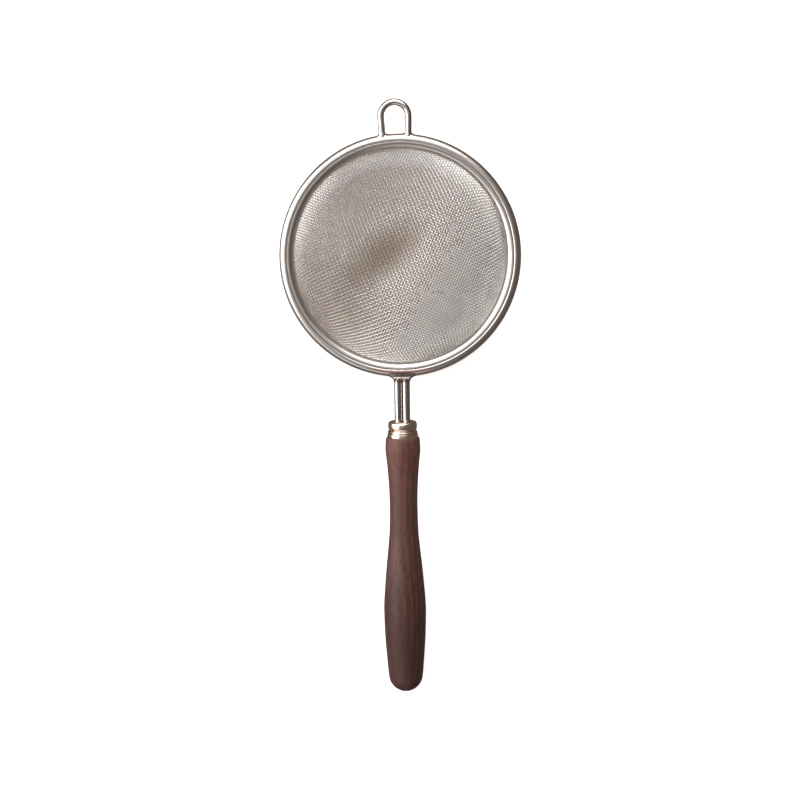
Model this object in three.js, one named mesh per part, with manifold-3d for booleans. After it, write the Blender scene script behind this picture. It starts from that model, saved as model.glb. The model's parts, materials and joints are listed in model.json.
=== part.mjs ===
// A long-handled tea strainer: a wire-cloth bowl in a steel rim, on two rods set in a turned walnut handle.
// Millimetres, +Z up. It lies as it does on a table, on the bottom of its bowl and the belly of its handle.
// The tool is drawn in its own frame, with the rim level around the origin, the handle along -Y and the
// bowl hanging along -Z. The last lines tip it on to the table and centre it over the origin.
import * as THREE from 'three';
import { mergeVertices } from 'three/addons/utils/BufferGeometryUtils.js';
import Module from 'manifold-3d';

const wasm = await Module();
wasm.setup();

// ---- Driving dimensions ----
const CLEARANCE = 0.3;            // left between pieces that are fitted, clamped or welded together

const RIM_RADIUS = 45;            // outside of the rim wire
const RIM_WIRE = 3;               // diameter of the rim wire

const CHANNEL_SHEET = 0.4;        // sheet that is folded over the edge of the cloth
const CHANNEL_DROP = 4.5;         // how far its two legs hang below the rim's middle
const CHANNEL_RISE = 1.2;         // how far its fold stands above the rim's middle

const CLOTH = 0.72;               // the woven cloth is two wires thick
const BOWL_DEPTH = 28;            // from the rim's middle to the cloth at the bottom
const BOWL_SKIRT = 5;             // upright part of the cloth, inside the channel
const FOOT_RADIUS = 7;            // flat pressed at the bottom of the bowl

const RIM_WELDS = 8;
const RIM_WELD_RADIUS = 0.5;
const RIM_WELD_LENGTH = 2.4;

const LOOP_WIRE = 2.5;
const LOOP_OPENING = 7.8;         // widest place between the legs
const LOOP_REACH = 12.6;          // how far the loop stands out past the rim wire
const LOOP_LEAN = 2.5;            // degrees by which each leg closes in towards its foot
const LOOP_TURN = 1.6;            // degrees round the rim from the handle's line to the loop
const LOOP_WELD_FLARE = 1.1;
const LOOP_WELD_HEIGHT = 1.6;
const LOOP_WELD_TAPER = [[1, 0], [0.5, 0.3], [0.3, 0.6], [0.2, 1]];   // shares of its flare and its height

const ROD = 2.8;                  // diameter of each neck rod
const NECK_LENGTH = 16.7;         // from the rim wire to the ferrule
const NECK_WELD_FILLET = 3.4;
const NECK_WELD_THICKNESS = 1.9;
const TANG_LENGTH = 38;           // what runs on inside the handle

const FERRULE_BEAD = 10.8;        // diameters of the ferrule's mouldings, from the neck to the wood
const FERRULE_BEAD_LENGTH = 3.7;
const FERRULE_BEAD_FOOT = -60;    // degrees below its widest place at which the bead meets the groove
const FERRULE_GROOVE = 9.8;
const FERRULE_RING = 11.2;
const FERRULE_RING_LENGTH = 0.9;
const FERRULE_RING_SLOPES = [0.25, 0.3];   // shares of its length that slope, from the neck to the wood
const FERRULE_BAND = 11.6;
const FERRULE_BAND_LENGTH = 1.8;
const FERRULE_WALL = 0.8;         // wall of the band, round the handle's tenon

const HANDLE_LENGTH = 100;        // from the ferrule to the butt
const HANDLE_SHOULDER = 13.3;     // diameters of the handle
const HANDLE_WAIST = 10.7;
const HANDLE_BELLY = 16.2;
const HANDLE_SHOULDER_AT = 0.045; // places along the handle, as shares of its length
const HANDLE_WAIST_AT = 0.28;
const HANDLE_BELLY_AT = 0.67;
const BUTT_RADIUS = 6.6;          // of the round end
const BORE_PAST_TANG = 3;         // bore left beyond the ends of the rods
const RESIN_BACK = 1;             // from the ferrule to the start of the resin

// Between the named diameters the outline is held fair by more points. Each is a place, as a share of the
// handle's length, and how far the outline stands out from the nearest named radius there.
const FRONT_EDGE = { out: 0.1 };                  // its front edge, out from the ferrule's band
const FRONT_ROUND = { back: 0.6, out: 0.15 };     // millimetres back from that edge
const FLANK = { at: 0.12, share: 0.89 };          // behind the shoulder, as a share of its radius
const WAIST_FRONT = { at: 0.75, out: 0.05 };      // at shares of the waist's own place
const WAIST_BACK = { at: 1.35, out: 0.3 };
const BETWEEN = { at: 0.02, out: 0.1 };           // past halfway from the waist to the belly
const BELLY_FRONT = { at: -0.08, out: -0.45 };    // from the belly's own place
const BELLY_BACK = { at: 0.12, out: -0.35 };
const BUTT_FRONT = { ahead: 2.2, out: 0.25 };     // millimetres ahead of the round end's middle

// ---- Sizes that follow ----
const wireRadius = RIM_WIRE / 2;
const rodRadius = ROD / 2;
const rodOffset = rodRadius + CLEARANCE / 2;
const rodsHalfWidth = rodOffset + rodRadius;
const channelOuter = RIM_RADIUS - RIM_WIRE - CLEARANCE;
const channelFold = CLOTH / 2 + CLEARANCE + CHANNEL_SHEET;
const skirtRadius = channelOuter - channelFold;
const foldHeight = CHANNEL_RISE - channelFold;
const ferruleLength = FERRULE_BEAD_LENGTH + FERRULE_RING_LENGTH + FERRULE_BAND_LENGTH;
const ferruleStart = -(RIM_RADIUS + NECK_LENGTH);
const ferruleEnd = ferruleStart - ferruleLength;
const socketRadius = FERRULE_BAND / 2 - FERRULE_WALL;
const socketDepth = FERRULE_BAND_LENGTH + FERRULE_RING_LENGTH / 2;
const socketFloor = ferruleEnd + socketDepth;
const handleStart = ferruleEnd - CLEARANCE;
const handleEnd = ferruleEnd - HANDLE_LENGTH;
const boreRadius = rodsHalfWidth + CLEARANCE;
const tangEnd = ferruleEnd - TANG_LENGTH;
const boreEnd = tangEnd - BORE_PAST_TANG;

// ---- Materials ----
const polishedSteel = () => new THREE.MeshStandardMaterial({ color: 0xc9c4bf, roughness: 0.22, metalness: 1 });
const wireCloth = () => new THREE.MeshStandardMaterial({ color: 0xb9b2ac, roughness: 0.4, metalness: 1 });
const weldMetal = () => new THREE.MeshStandardMaterial({ color: 0xb8b2ad, roughness: 0.38, metalness: 1 });
const platedBrass = () => new THREE.MeshStandardMaterial({ color: 0xcdbfae, roughness: 0.14, metalness: 1 });
const walnut = () => new THREE.MeshStandardMaterial({ color: 0x6b4a40, roughness: 0.5, metalness: 0 });
const resin = () => new THREE.MeshStandardMaterial({ color: 0xb59b6a, roughness: 0.35, metalness: 0 });

// ---- Shared geometry ----
const point = (x, y) => new THREE.Vector2(x, y);

// Points of an arc from one angle to another, in degrees, without its first point.
function arc(x, y, radius, from, to, steps) {
  return Array.from({ length: steps }, (_, i) => {
    const angle = THREE.MathUtils.degToRad(from + ((to - from) * (i + 1)) / steps);
    return point(x + radius * Math.cos(angle), y + radius * Math.sin(angle));
  });
}

function addPiece(parent, name, geometry, material) {
  const piece = new THREE.Mesh(geometry, material);
  piece.name = name;
  parent.add(piece);
  return piece;
}

// A profile of radius and height turned round Z.
const turnRoundZ = (profile, segments) => new THREE.LatheGeometry(profile, segments).rotateX(Math.PI / 2);

function toManifold(geometry) {
  const bare = geometry.clone();
  bare.deleteAttribute('normal');
  bare.deleteAttribute('uv');
  const welded = mergeVertices(bare, SAME_POINT);
  return new wasm.Manifold(new wasm.Mesh({
    numProp: 3,
    vertProperties: Float32Array.from(welded.attributes.position.array),
    triVerts: Uint32Array.from(welded.index.array),
  }));
}

function cut(geometry, tool) {
  const mesh = toManifold(geometry).subtract(toManifold(tool)).getMesh();
  const result = new THREE.BufferGeometry();
  result.setAttribute('position', new THREE.BufferAttribute(Float32Array.from(mesh.vertProperties), 3));
  result.setIndex(new THREE.BufferAttribute(Uint32Array.from(mesh.triVerts), 1));
  return result;
}

// ---- Fineness ----
const ROUND = 64;                 // facets round the rim and the bowl
const TURNED = 24;                // facets round the handle and the ferrule
const BOWL_STEPS = 9;             // facets down the curve of the bowl
const HANDLE_STEPS = 20;          // and along the handle
const BUTT_STEPS = 6;
const BEAD_STEPS = 8;             // over the ferrule's bead
const FOLD_STEPS = 6;             // over the channel's fold
const RIM_WIRE_FACETS = 12;       // facets round each wire, and round each rod and weld
const LOOP_WIRE_FACETS = 10;
const LOOP_STEPS = 26;
const ROD_FACETS = 16;
const LOOP_WELD_FACETS = 16;
const RIM_WELD_FACETS = [10, 6];
const NECK_WELD_STEPS = 6;
const SAME_POINT = 1e-4;          // points closer than this are one
const TILT_STEPS = 40;            // halvings of the angle at which the tool comes to rest

// ---- Rim ----

function rimWire() {
  return new THREE.TorusGeometry(RIM_RADIUS - wireRadius, wireRadius, RIM_WIRE_FACETS, ROUND);
}

// Sheet folded over the edge of the cloth: two upright legs under a round fold.
function rimChannel() {
  const inner = skirtRadius - channelFold;
  return turnRoundZ([
    point(channelOuter, -CHANNEL_DROP),
    point(channelOuter, foldHeight),
    ...arc(skirtRadius, foldHeight, channelFold, 0, 180, FOLD_STEPS),
    point(inner, -CHANNEL_DROP),
    point(inner + CHANNEL_SHEET, -CHANNEL_DROP),
    point(inner + CHANNEL_SHEET, foldHeight),
    ...arc(skirtRadius, foldHeight, channelFold - CHANNEL_SHEET, 180, 0, FOLD_STEPS - 1),
    point(channelOuter - CHANNEL_SHEET, -CHANNEL_DROP),
    point(channelOuter, -CHANNEL_DROP),
  ], ROUND);
}

// Spots of weld in the groove under the rim, where the wire meets the channel.
function rimWeld(index) {
  const fromWire = wireRadius + CLEARANCE + RIM_WELD_RADIUS;
  const radius = channelOuter + CLEARANCE + RIM_WELD_RADIUS;
  const across = RIM_RADIUS - wireRadius - radius;
  const drop = Math.sqrt(fromWire ** 2 - across ** 2);
  const angle = ((index + 0.5) * 2 * Math.PI) / RIM_WELDS;
  const spot = new THREE.SphereGeometry(RIM_WELD_RADIUS, ...RIM_WELD_FACETS);
  spot.scale(1, RIM_WELD_LENGTH / (2 * RIM_WELD_RADIUS), 1);
  return spot.translate(radius, 0, -drop).rotateZ(angle);
}

// ---- Bowl ----
// One face of the cloth: flat foot, quarter of an ellipse, upright skirt inside the channel.
function clothFace(offset, steps) {
  const across = skirtRadius - FOOT_RADIUS;
  const down = BOWL_DEPTH - BOWL_SKIRT;
  const face = [point(0, -BOWL_DEPTH - offset)];
  for (let i = 0; i <= steps; i++) {
    const angle = (i / steps) * (Math.PI / 2);
    const normal = point(Math.sin(angle) / across, -Math.cos(angle) / down).normalize();
    face.push(point(
      FOOT_RADIUS + across * Math.sin(angle) + offset * normal.x,
      -BOWL_SKIRT - down * Math.cos(angle) + offset * normal.y,
    ));
  }
  face.push(point(skirtRadius + offset, foldHeight));
  return face;
}

function bowlCloth() {
  const outside = clothFace(CLOTH / 2, BOWL_STEPS);
  const inside = clothFace(-CLOTH / 2, BOWL_STEPS).reverse();
  return turnRoundZ([...outside, ...inside], ROUND);
}

// ---- Hanging loop ----
const loopWireRadius = LOOP_WIRE / 2;
const loopBend = (LOOP_OPENING + LOOP_WIRE) / 2;
const loopCentre = RIM_RADIUS + LOOP_REACH - loopWireRadius - loopBend;
const loopLean = THREE.MathUtils.degToRad(LOOP_LEAN);

// The loop stands on the rim wire, so its feet follow the rim's curve.
const loopFoot = Math.sqrt(RIM_RADIUS ** 2 - (loopBend - loopWireRadius) ** 2) + CLEARANCE;
const loopLegTop = loopCentre - loopBend * Math.sin(loopLean);
const loopLeg = (loopLegTop - loopFoot) / Math.cos(loopLean);
const loopFootAcross = loopBend * Math.cos(loopLean) - loopLeg * Math.sin(loopLean);

// The middle line of the wire: a leg, a bend of a little over half a turn, and the other leg.
class LoopLine extends THREE.Curve {
  getPoint(t, target = new THREE.Vector3()) {
    const bendLength = loopBend * (Math.PI + 2 * loopLean);
    const along = t * (bendLength + 2 * loopLeg) - loopLeg;
    const inBend = THREE.MathUtils.clamp(along, 0, bendLength);
    const angle = Math.PI + loopLean - inBend / loopBend;
    const straight = along - inBend;
    return target.set(
      loopBend * Math.cos(angle) + straight * Math.sin(angle),
      loopCentre + loopBend * Math.sin(angle) - straight * Math.cos(angle),
      0,
    );
  }
}

function hangingLoop() {
  const section = new THREE.Shape().absarc(0, 0, loopWireRadius, 0, 2 * Math.PI);
  return new THREE.ExtrudeGeometry(section, {
    steps: LOOP_STEPS, curveSegments: LOOP_WIRE_FACETS / 2, extrudePath: new LoopLine(),
  });
}

// Collar of weld round the foot of a leg, flaring out on to the rim.
function loopWeld() {
  const inside = loopWireRadius + CLEARANCE;
  return new THREE.LatheGeometry([
    point(inside, 0),
    ...LOOP_WELD_TAPER.map(([out, up]) => point(inside + LOOP_WELD_FLARE * out, LOOP_WELD_HEIGHT * up)),
    point(inside, LOOP_WELD_HEIGHT),
    point(inside, 0),
  ], LOOP_WELD_FACETS);
}

// ---- Neck ----
function neckRod() {
  const top = -(RIM_RADIUS + CLEARANCE);
  const rod = new THREE.CylinderGeometry(rodRadius, rodRadius, top - tangEnd, ROD_FACETS);
  return rod.translate(0, (top + tangEnd) / 2, 0);
}

// Fillet of weld in the corner between the rim and one rod, concave on its open side.
function neckWeld() {
  const side = rodsHalfWidth + CLEARANCE;
  const rim = RIM_RADIUS + CLEARANCE;
  const centreX = side + NECK_WELD_FILLET;
  const centreY = -Math.sqrt((rim + NECK_WELD_FILLET) ** 2 - centreX ** 2);
  const onRim = Math.atan2(centreY, centreX);
  const inCorner = -Math.acos(side / rim);
  const outline = new THREE.Shape();
  outline.moveTo(side, rim * Math.sin(inCorner));
  outline.lineTo(side, centreY);
  outline.absarc(centreX, centreY, NECK_WELD_FILLET, Math.PI, onRim + Math.PI, true);
  outline.absarc(0, 0, rim, onRim, inCorner, true);
  const weld = new THREE.ExtrudeGeometry(outline, {
    depth: NECK_WELD_THICKNESS, bevelEnabled: false, curveSegments: NECK_WELD_STEPS,
  });
  return weld.translate(0, 0, -NECK_WELD_THICKNESS / 2);
}

// ---- Ferrule ----
// A round bead, a groove, a thin ring and a plain band. It has a slot for the rods and a socket for the tenon.
function ferrule() {
  const beadRound = FERRULE_BEAD_LENGTH / 2;
  const beadStart = ferruleStart - FERRULE_BEAD_LENGTH;
  const ringStart = beadStart - FERRULE_RING_LENGTH;
  const body = new THREE.LatheGeometry([
    point(0, socketFloor),
    point(socketRadius, socketFloor),
    point(socketRadius, ferruleEnd),
    point(FERRULE_BAND / 2, ferruleEnd),
    point(FERRULE_BAND / 2, ringStart),
    point(FERRULE_RING / 2, ringStart + FERRULE_RING_LENGTH * FERRULE_RING_SLOPES[1]),
    point(FERRULE_RING / 2, beadStart - FERRULE_RING_LENGTH * FERRULE_RING_SLOPES[0]),
    point(FERRULE_GROOVE / 2, beadStart),
    ...arc(FERRULE_BEAD / 2 - beadRound, ferruleStart - beadRound, beadRound, FERRULE_BEAD_FOOT, 90, BEAD_STEPS),
    point(0, ferruleStart),
  ], TURNED);
  const slot = new THREE.BoxGeometry(2 * (rodsHalfWidth + CLEARANCE), 2 * ferruleLength, ROD + 2 * CLEARANCE);
  return cut(body, slot.translate(0, ferruleStart, 0));
}

// ---- Handle ----
// Outline from the tenon to the butt, as radius and place along the handle.
function handleOutline() {
  const frontEdge = FERRULE_BAND / 2 + FRONT_EDGE.out;
  const shoulder = HANDLE_SHOULDER / 2;
  const waist = HANDLE_WAIST / 2;
  const belly = HANDLE_BELLY / 2;
  const at = (share) => handleStart + (handleEnd - handleStart) * share;
  const buttCentre = handleEnd + BUTT_RADIUS;
  const curve = new THREE.SplineCurve([
    point(shoulder, at(HANDLE_SHOULDER_AT)),
    point(shoulder * FLANK.share, at(FLANK.at)),
    point(waist + WAIST_FRONT.out, at(HANDLE_WAIST_AT * WAIST_FRONT.at)),
    point(waist, at(HANDLE_WAIST_AT)),
    point(waist + WAIST_BACK.out, at(HANDLE_WAIST_AT * WAIST_BACK.at)),
    point((waist + belly) / 2 + BETWEEN.out, at((HANDLE_WAIST_AT + HANDLE_BELLY_AT) / 2 + BETWEEN.at)),
    point(belly + BELLY_FRONT.out, at(HANDLE_BELLY_AT + BELLY_FRONT.at)),
    point(belly, at(HANDLE_BELLY_AT)),
    point(belly + BELLY_BACK.out, at(HANDLE_BELLY_AT + BELLY_BACK.at)),
    point(BUTT_RADIUS + BUTT_FRONT.out, buttCentre + BUTT_FRONT.ahead),
    point(BUTT_RADIUS, buttCentre),
  ]);
  return [
    point(frontEdge, handleStart),
    point((frontEdge + shoulder) / 2 + FRONT_ROUND.out, handleStart - FRONT_ROUND.back),
    ...curve.getPoints(HANDLE_STEPS),
    ...arc(0, buttCentre, BUTT_RADIUS, 0, -90, BUTT_STEPS),
  ];
}

function handle() {
  const tenonRadius = socketRadius - CLEARANCE;
  const tenonStart = handleStart + socketDepth;
  const profile = [
    point(0, boreEnd),
    point(boreRadius, boreEnd),
    point(boreRadius, tenonStart),
    point(tenonRadius, tenonStart),
    point(tenonRadius, handleStart),
    ...handleOutline(),
  ];
  return new THREE.LatheGeometry(profile.reverse(), TURNED);
}

// Adhesive round the ends of the rods, which holds them in the bore.
function tangResin() {
  const start = handleStart - RESIN_BACK;
  const end = boreEnd + CLEARANCE;
  const plug = new THREE.CylinderGeometry(boreRadius - CLEARANCE, boreRadius - CLEARANCE, start - end, TURNED);
  const room = new THREE.BoxGeometry(2 * boreRadius, TANG_LENGTH, ROD + 2 * CLEARANCE);
  return cut(
    plug.translate(0, (start + end) / 2, 0),
    room.translate(0, tangEnd - CLEARANCE + TANG_LENGTH / 2, 0),
  );
}

// ---- Assembly ----
const tool = new THREE.Group();
addPiece(tool, 'rim_wire', rimWire(), polishedSteel());
addPiece(tool, 'rim_channel', rimChannel(), polishedSteel());
addPiece(tool, 'mesh_bowl', bowlCloth(), wireCloth());
for (let i = 0; i < RIM_WELDS; i++) {
  addPiece(tool, `rim_weld_${i + 1}`, rimWeld(i), weldMetal());
}

const loop = new THREE.Group();
loop.rotation.z = THREE.MathUtils.degToRad(LOOP_TURN);
tool.add(loop);
addPiece(loop, 'hanging_loop', hangingLoop(), polishedSteel());
for (const [name, side] of [['loop_weld_left', -1], ['loop_weld_right', 1]]) {
  const weld = addPiece(loop, name, loopWeld(), weldMetal());
  weld.position.set(side * loopFootAcross, RIM_RADIUS + CLEARANCE, 0);
  weld.rotation.z = -side * loopLean;
}

for (const [side, sign] of [['left', -1], ['right', 1]]) {
  addPiece(tool, `neck_rod_${side}`, neckRod(), polishedSteel()).position.x = sign * rodOffset;
  const weld = addPiece(tool, `neck_weld_${side}`, neckWeld(), weldMetal());
  weld.rotation.y = sign < 0 ? Math.PI : 0;
}

addPiece(tool, 'ferrule', ferrule(), platedBrass());
addPiece(tool, 'handle', handle(), walnut());
addPiece(tool, 'tang_resin', tangResin(), resin());

// On a table, the tool tips until the bowl and the handle both touch.
const bowlBelow = clothFace(CLOTH / 2, BOWL_STEPS).map(({ x, y }) => [-x, y]);
const handleBelow = handleOutline().map(({ x, y }) => [y, -x]);
function lowest(outline, tilt) {
  return Math.min(...outline.map(([y, z]) => y * Math.sin(tilt) + z * Math.cos(tilt)));
}
let level = 0;
let steep = Math.PI / 4;
for (let i = 0; i < TILT_STEPS; i++) {
  const tilt = (level + steep) / 2;
  if (lowest(handleBelow, tilt) > lowest(bowlBelow, tilt)) {
    level = tilt;
  } else {
    steep = tilt;
  }
}
tool.rotation.x = level;

const strainer = new THREE.Group();
strainer.add(tool);
const box = new THREE.Box3().setFromObject(strainer, true);
tool.position.set(0, -(box.min.y + box.max.y) / 2, -box.min.z);

export default strainer;
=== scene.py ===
import json
import math

import bmesh
import bpy
import numpy as np
from mathutils import Matrix, Vector


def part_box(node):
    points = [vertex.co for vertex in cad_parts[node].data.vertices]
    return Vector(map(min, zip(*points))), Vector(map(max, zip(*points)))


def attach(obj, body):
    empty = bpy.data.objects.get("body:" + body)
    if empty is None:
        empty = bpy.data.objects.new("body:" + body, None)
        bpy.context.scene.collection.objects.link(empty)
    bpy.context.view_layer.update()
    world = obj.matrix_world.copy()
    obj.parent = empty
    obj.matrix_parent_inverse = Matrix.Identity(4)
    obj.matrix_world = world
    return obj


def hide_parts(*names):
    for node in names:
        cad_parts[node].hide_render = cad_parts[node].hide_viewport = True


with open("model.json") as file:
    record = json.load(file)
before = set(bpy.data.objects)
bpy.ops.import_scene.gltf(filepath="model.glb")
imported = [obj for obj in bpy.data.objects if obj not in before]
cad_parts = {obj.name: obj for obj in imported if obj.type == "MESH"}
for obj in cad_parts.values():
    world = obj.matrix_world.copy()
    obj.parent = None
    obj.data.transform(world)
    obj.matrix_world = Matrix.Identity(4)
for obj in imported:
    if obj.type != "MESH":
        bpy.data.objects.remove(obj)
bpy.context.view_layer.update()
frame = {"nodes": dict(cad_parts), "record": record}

mm = 0.001

# ---- How the strainer lies ----
# It rests on the bottom of its bowl and the belly of its handle, so it is tipped a little. Every piece is
# drawn on the tool's own axes: the rim level round the origin, the handle along -Y, the bowl along -Z.

foot = next(m for m in frame["record"]["mounts"] if m["name"] == "bowl_foot")
TILT = math.atan2(foot["axis"][1], -foot["axis"][2])
rim_low, rim_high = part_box("rim_wire")
own_axes = Matrix.Translation((rim_low + rim_high) / 2) @ Matrix.Rotation(TILT, 4, "X")


def own_places(node):
    """The corners of a CAD node's mesh, on the tool's own axes."""
    to_own = own_axes.inverted()
    return np.array([to_own @ v.co for v in frame["nodes"][node].data.vertices])


# ---- Rim wire ----
# A heavy stainless wire, drawn to a section whose top rolls away outwards and is eased on its inner side.
# It is bent into a hoop, its ends are butt-welded under the neck, and the whole hoop is polished.

RIM_RADIUS = own_places("rim_wire")[:, 0].max()
RIM_TOP = own_places("rim_wire")[:, 2].max()
RIM_ROLL = 2.25 * mm               # radius of the top where it rolls away outwards
RIM_EASE = 0.67 * mm               # and inwards, next to the channel
RIM_BACK = RIM_ROLL + RIM_EASE     # from the outer edge to the flat back
RIM_UNDER = -1.75 * mm
RIM_SIDES = 192                    # flats round the hoop, and round the channel
SAME_PLACE = 0.0001 * mm           # points closer than this become one
STEEL_TONE = (0.61, 0.575, 0.55)
STEEL_CLOUDS = 160.0               # fineness of a pattern: the larger, the finer
HAIRLINES = 9000.0
HAIRLINE_RUN = 0.06                # their pattern's scale along their run, which draws them out
HAIRLINE_TURN = 0.4                # radians
HAIRLINE_DEPTH = 0.0015 * mm
# painted reflection: a pinkish-brown tint round one place of the steel, fading out
REFLECTION_TINT_TONE = (0.66, 0.46, 0.43)
REFLECTION_TINT_REACH = 15 * mm
REFLECTION_TINT_FADE = 0.8


def rounded(points, steps=4):
    """A line from the first of a list of corners to the last, which rounds those between and touches the
    middle of each side."""
    corners = np.array(points, float)
    line = [corners[0]]
    for before, corner, after in zip(corners, corners[1:], corners[2:]):
        start, end = (before + corner) / 2, (corner + after) / 2
        for t in np.arange(steps) / steps:
            line.append((1 - t) ** 2 * start + 2 * t * (1 - t) * corner + t ** 2 * end)
    return np.array([*line, (corners[-2] + corners[-1]) / 2, corners[-1]])


def turned(profile, count, axis="Z"):
    """Rings of points made by turning a profile of radius and height round an axis."""
    angles = np.arange(count) / count * 2 * math.pi
    radius, height = np.array(profile).T
    around = radius * np.cos(angles)[:, None]
    across = radius * np.sin(angles)[:, None]
    along = np.broadcast_to(height, around.shape)
    order = (around, across, along) if axis == "Z" else (around, along, across)
    return np.stack(order, axis=-1)


def skin(rings, round_rings=True, round_sides=True, cap=False):
    """Faces over a grid of points, which may close on itself both ways, or be capped at its two ends."""
    count, sides = rings.shape[:2]
    i, j = np.meshgrid(np.arange(count - (not round_rings)), np.arange(sides - (not round_sides)),
                       indexing="ij")
    after, beside = (i + 1) % count, (j + 1) % sides
    corners = (i * sides + j, after * sides + j, after * sides + beside, i * sides + beside)
    faces = np.stack(corners, axis=-1).reshape(-1, 4).tolist()
    if cap:
        faces.append(list(range(sides)))
        faces.append([(count - 1) * sides + k for k in reversed(range(sides))])
    return rings.reshape(-1, 3), faces


def joined(parts):
    """Several meshes of points and faces as one."""
    points, faces, start = [], [], 0
    for part_points, part_faces in parts:
        points.append(part_points)
        faces += [[start + k for k in face] for face in part_faces]
        start += len(part_points)
    return np.concatenate(points), faces


def place_mesh(mesh, material):
    """An object from a mesh that is drawn on the tool's own axes."""
    mesh.transform(own_axes)
    mesh.materials.append(material)
    piece = bpy.data.objects.new(mesh.name, mesh)
    bpy.context.scene.collection.objects.link(piece)
    return piece


def make_piece(name, shape, material, sharp=None):
    """A smooth-shaded object on the tool's own axes, with its faces pointing out."""
    points, faces = shape
    mesh = bpy.data.meshes.new(name)
    mesh.from_pydata(np.asarray(points).tolist(), [], faces)
    shell = bmesh.new()
    shell.from_mesh(mesh)
    bmesh.ops.remove_doubles(shell, verts=shell.verts, dist=SAME_PLACE)
    bmesh.ops.recalc_face_normals(shell, faces=shell.faces)
    shell.to_mesh(mesh)
    shell.free()
    mesh.shade_smooth()
    if sharp is not None:
        mesh.set_sharp_from_angle(angle=sharp)
    return place_mesh(mesh, material)


class Value:
    """A number that changes over a surface. Arithmetic on it adds Math nodes."""

    def __init__(self, finish, socket):
        self.finish = finish
        self.socket = socket

    def math(self, operation, *values):
        return self.finish.node("ShaderNodeMath", {"operation": operation}, dict(enumerate(values)))

    def __add__(self, other):
        return self.math("ADD", self, other)

    def __sub__(self, other):
        return self.math("SUBTRACT", self, other)

    def __mul__(self, other):
        return self.math("MULTIPLY", self, other)

    def __truediv__(self, other):
        return self.math("DIVIDE", self, other)

    def __pow__(self, other):
        return self.math("POWER", self, other)

    def __radd__(self, other):
        return self.math("ADD", other, self)

    def __rsub__(self, other):
        return self.math("SUBTRACT", other, self)

    def __rmul__(self, other):
        return self.math("MULTIPLY", other, self)

    def __rtruediv__(self, other):
        return self.math("DIVIDE", other, self)

    def clamped(self):
        return self.math("MINIMUM", self.math("MAXIMUM", self, 0.0), 1.0)

    def sine(self):
        return self.math("SINE", self)


class Finish:
    """A material with one main shader, and one method that adds every other node."""

    def __init__(self, name, **constants):
        self.material = bpy.data.materials.new(name)
        self.material.use_nodes = True
        self.tree = self.material.node_tree
        self.shader = self.tree.nodes["Principled BSDF"]
        for socket, value in constants.items():
            self.shader.inputs[socket.replace("_", " ")].default_value = value
        place = self.node("ShaderNodeTexCoord", output="Object")
        self.place = self.node("ShaderNodeMapping", {"vector_type": "TEXTURE"}, {
            "Vector": place, "Location": own_axes.to_translation(), "Rotation": (TILT, 0, 0)})

    def node(self, kind, settings=None, values=None, output=0):
        node = self.tree.nodes.new(kind)
        for name, setting in (settings or {}).items():
            if name == "stops":
                ramp = node.color_ramp.elements
                for stop, (position, colour) in zip((ramp[0], ramp[1]), (setting[0], setting[-1])):
                    stop.position = position
                    stop.color = (*colour, 1)
                for position, colour in setting[1:-1]:
                    ramp.new(position).color = (*colour, 1)
            else:
                setattr(node, name, setting)
        for name, value in (values or {}).items():
            self.feed(node.inputs[name], value)
        return Value(self, node.outputs[output])

    def feed(self, socket, value):
        if isinstance(value, Value):
            self.tree.links.new(value.socket, socket)
        elif isinstance(value, tuple) and socket.type == "RGBA":
            socket.default_value = (*value, 1)
        else:
            socket.default_value = value

    def set(self, **values):
        for name, value in values.items():
            self.feed(self.shader.inputs[name.replace("_", " ")], value)

    def stretched(self, scale, turn=(0, 0, 0)):
        """Places on the tool's own axes, scaled along each axis, so that a pattern runs with the work."""
        return self.node("ShaderNodeMapping", None,
                         {"Vector": self.place, "Rotation": turn, "Scale": scale})

    def noise(self, place, scale, detail=3.0, roughness=0.55):
        return self.node("ShaderNodeTexNoise", None, {"Vector": place, "Scale": scale, "Detail": detail,
                                                      "Roughness": roughness})

    def mix(self, share, first, second):
        return self.node("ShaderNodeMix", {"data_type": "RGBA"}, {0: share, 6: first, 7: second}, output=2)

    def bump(self, height, distance, strength=1.0):
        return self.node("ShaderNodeBump", None,
                         {"Height": height, "Distance": distance, "Strength": strength})


def dimmed(tone, share):
    """A colour at a share of its brightness."""
    return tuple(part * share for part in tone)


def polished_steel(name, roughness, painted_reflection_at=None):
    """Stainless steel off a polishing wheel: clear, with faint clouding and hairline marks. Round one place
    it can be given a painted reflection, a faint pinkish-brown tint."""
    finish = Finish(name, Metallic=1.0)
    clouds = finish.noise(finish.place, STEEL_CLOUDS)
    along_marks = finish.stretched((1, HAIRLINE_RUN, 1), turn=(0, 0, HAIRLINE_TURN))
    hairlines = finish.noise(along_marks, HAIRLINES, detail=2.0)
    colour = finish.mix(clouds, STEEL_TONE, dimmed(STEEL_TONE, 0.9))
    # Painted reflection: the steel is tinted pinkish-brown round one place.
    if painted_reflection_at:
        away = finish.node("ShaderNodeVectorMath", {"operation": "DISTANCE"}, {0: finish.place, 1: painted_reflection_at},
                           output="Value")
        tint = (1 - away / REFLECTION_TINT_REACH).clamped()
        colour = finish.mix(tint ** REFLECTION_TINT_FADE, colour, REFLECTION_TINT_TONE)
    finish.set(
        Base_Color=colour,
        Roughness=roughness + 0.10 * (clouds - 0.5) + 0.04 * (hairlines - 0.5),
        Normal=finish.bump(hairlines, HAIRLINE_DEPTH),
    )
    return finish.material


def roll(radius, middle, to_side, steps=12):
    """A quarter of a circle from its crown down to one side, as places out from the rim's edge and up."""
    sweep = np.linspace(0, math.pi / 2, steps)
    return np.stack((middle[0] + to_side * radius * np.sin(sweep), middle[1] + radius * np.cos(sweep)), -1)


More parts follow.
